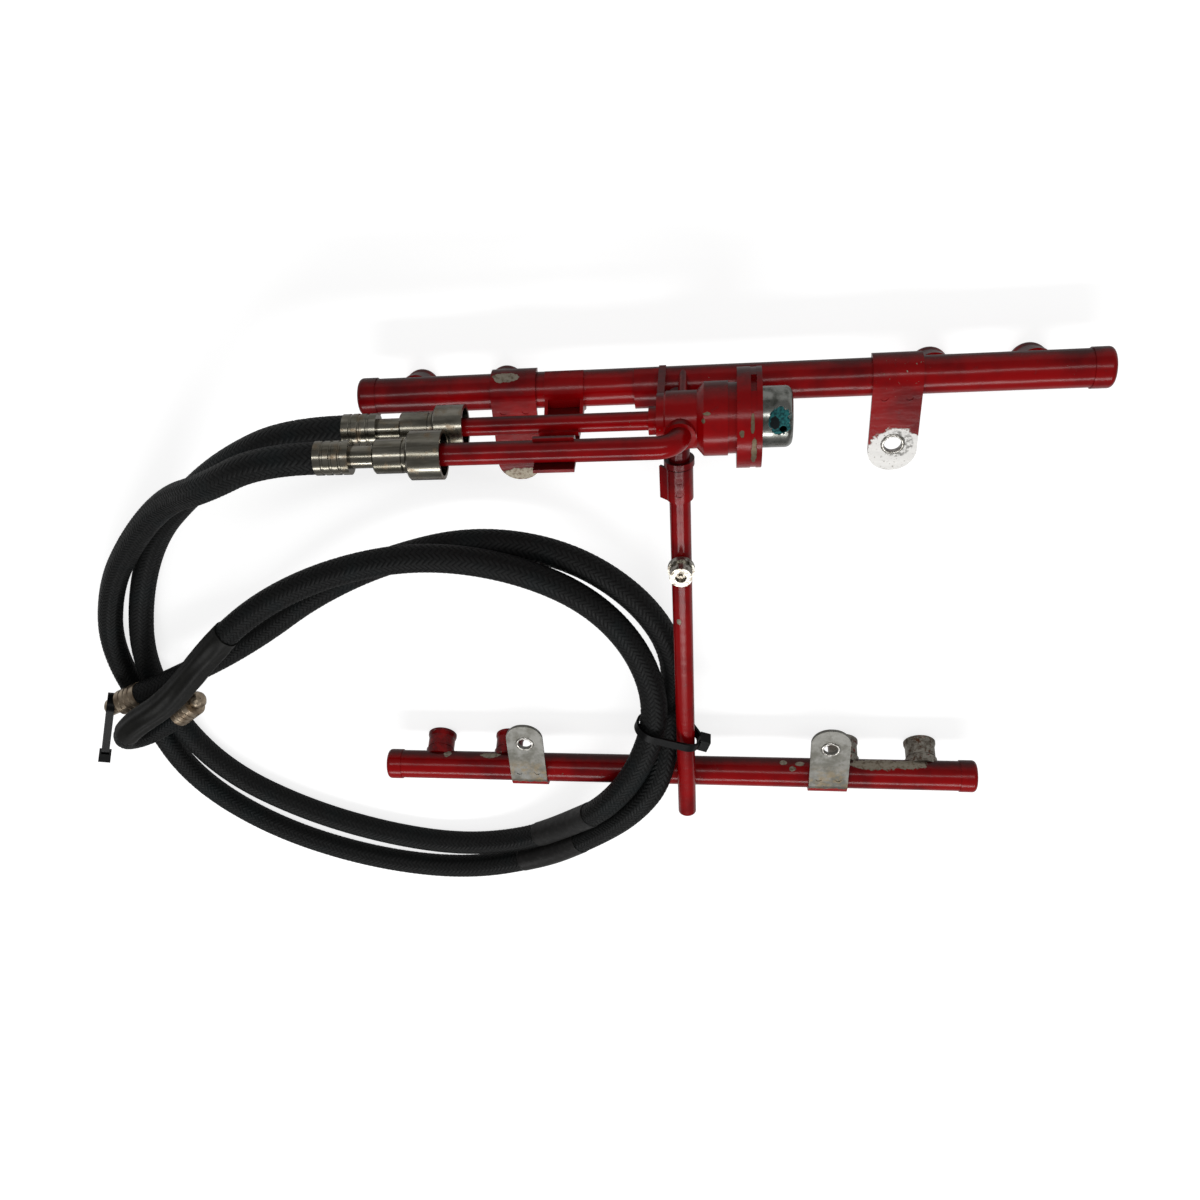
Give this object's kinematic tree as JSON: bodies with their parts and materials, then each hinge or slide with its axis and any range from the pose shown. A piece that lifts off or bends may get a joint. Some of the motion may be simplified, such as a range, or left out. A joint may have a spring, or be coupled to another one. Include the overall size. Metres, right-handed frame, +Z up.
{
  "type": "fuel rail assembly",
  "caption": "Painted fuel rail assembly for a V engine: two rails with injector cups, a crossover tube, a pressure regulator, a service valve, and braided hoses in a coil.",
  "frame": {"origin": "on the ground that the injector cups stand on, midway between the two rails and midway between the two banks' injector centres", "axes": "+X along the rails, away from the hoses; +Y from the far rail to the near rail, which carries the regulator; +Z up, out of the engine"},
  "size_m": [0.5192, 0.369, 0.0853],
  "materials": {
    "red_paint": "glossy, worn",
    "black_nylon": "matte",
    "bare_steel": "dull zinc-plated steel with grime",
    "zinc_cup": "worn, partly red",
    "seal_rubber": "matte",
    "tan_steel": "dull, brown with age",
    "black_sleeve": "matte",
    "braided_hose": "black woven cover",
    "brass": "dull",
    "white_label": "worn printed label, left bare"
  },
  "bodies": {
    "rail_assembly": {"crossover_collar": "red_paint", "crossover_end_plug": "red_paint", "crossover_near_plug": "red_paint", "crossover_saddle": "red_paint", "crossover_tube": "red_paint", "crossover_zip_tie": "black_nylon", "drain_stub": "bare_steel", "far_crossover_joint": "red_paint", "far_end_cap_1": "red_paint", "far_end_cap_2": "red_paint", "far_injector_cup_1": "zinc_cup", "far_injector_cup_2": "zinc_cup", "far_injector_cup_3": "zinc_cup", "far_injector_cup_4": "zinc_cup", "far_mounting_bracket_1": "red_paint", "far_mounting_bracket_2": "red_paint", "far_rail_tube": "red_paint", "hose_end_zip_tie": "black_nylon", "housing_feed_joint": "red_paint", "line_clip": "red_paint", "near_crossover_joint": "red_paint", "near_end_cap_1": "red_paint", "near_end_cap_2": "red_paint", "near_injector_cup_1": "zinc_cup", "near_injector_cup_2": "zinc_cup", "near_injector_cup_3": "zinc_cup", "near_injector_cup_4": "zinc_cup", "near_mounting_bracket_1": "red_paint", "near_mounting_bracket_2": "red_paint", "near_rail_tube": "red_paint", "regulator_bracket": "red_paint", "regulator_capsule": "bare_steel", "regulator_clamp_ring": "red_paint", "regulator_housing": "red_paint", "regulator_seal": "seal_rubber", "return_coupling_body": "bare_steel", "return_coupling_collar": "bare_steel", "return_end_ferrule": "tan_steel", "return_end_piece": "tan_steel", "return_fold_sleeve": "black_sleeve", "return_hose": "braided_hose", "return_hose_ferrule": "bare_steel", "return_plain_sleeve": "black_sleeve", "return_tube": "red_paint", "return_tube_ring": "red_paint", "service_valve_body": "bare_steel", "service_valve_core": "brass", "supply_boss": "red_paint", "supply_coupling_body": "bare_steel", "supply_coupling_collar": "bare_steel", "supply_end_ferrule": "tan_steel", "supply_end_piece": "tan_steel", "supply_hose": "braided_hose", "supply_hose_ferrule": "bare_steel", "supply_label_sleeve": "white_label", "supply_tube": "red_paint"},
    "valve_pin": {"service_valve_pin": "brass"}
  },
  "joints": [
    {"name": "valve_pin_press", "type": "slide", "parent": "rail_assembly", "child": "valve_pin", "axis": [0, 0, 1], "range_m": [-0.0015, 0], "stiffness_N_per_m": 600, "springref_m": 0.0005}
  ]
}
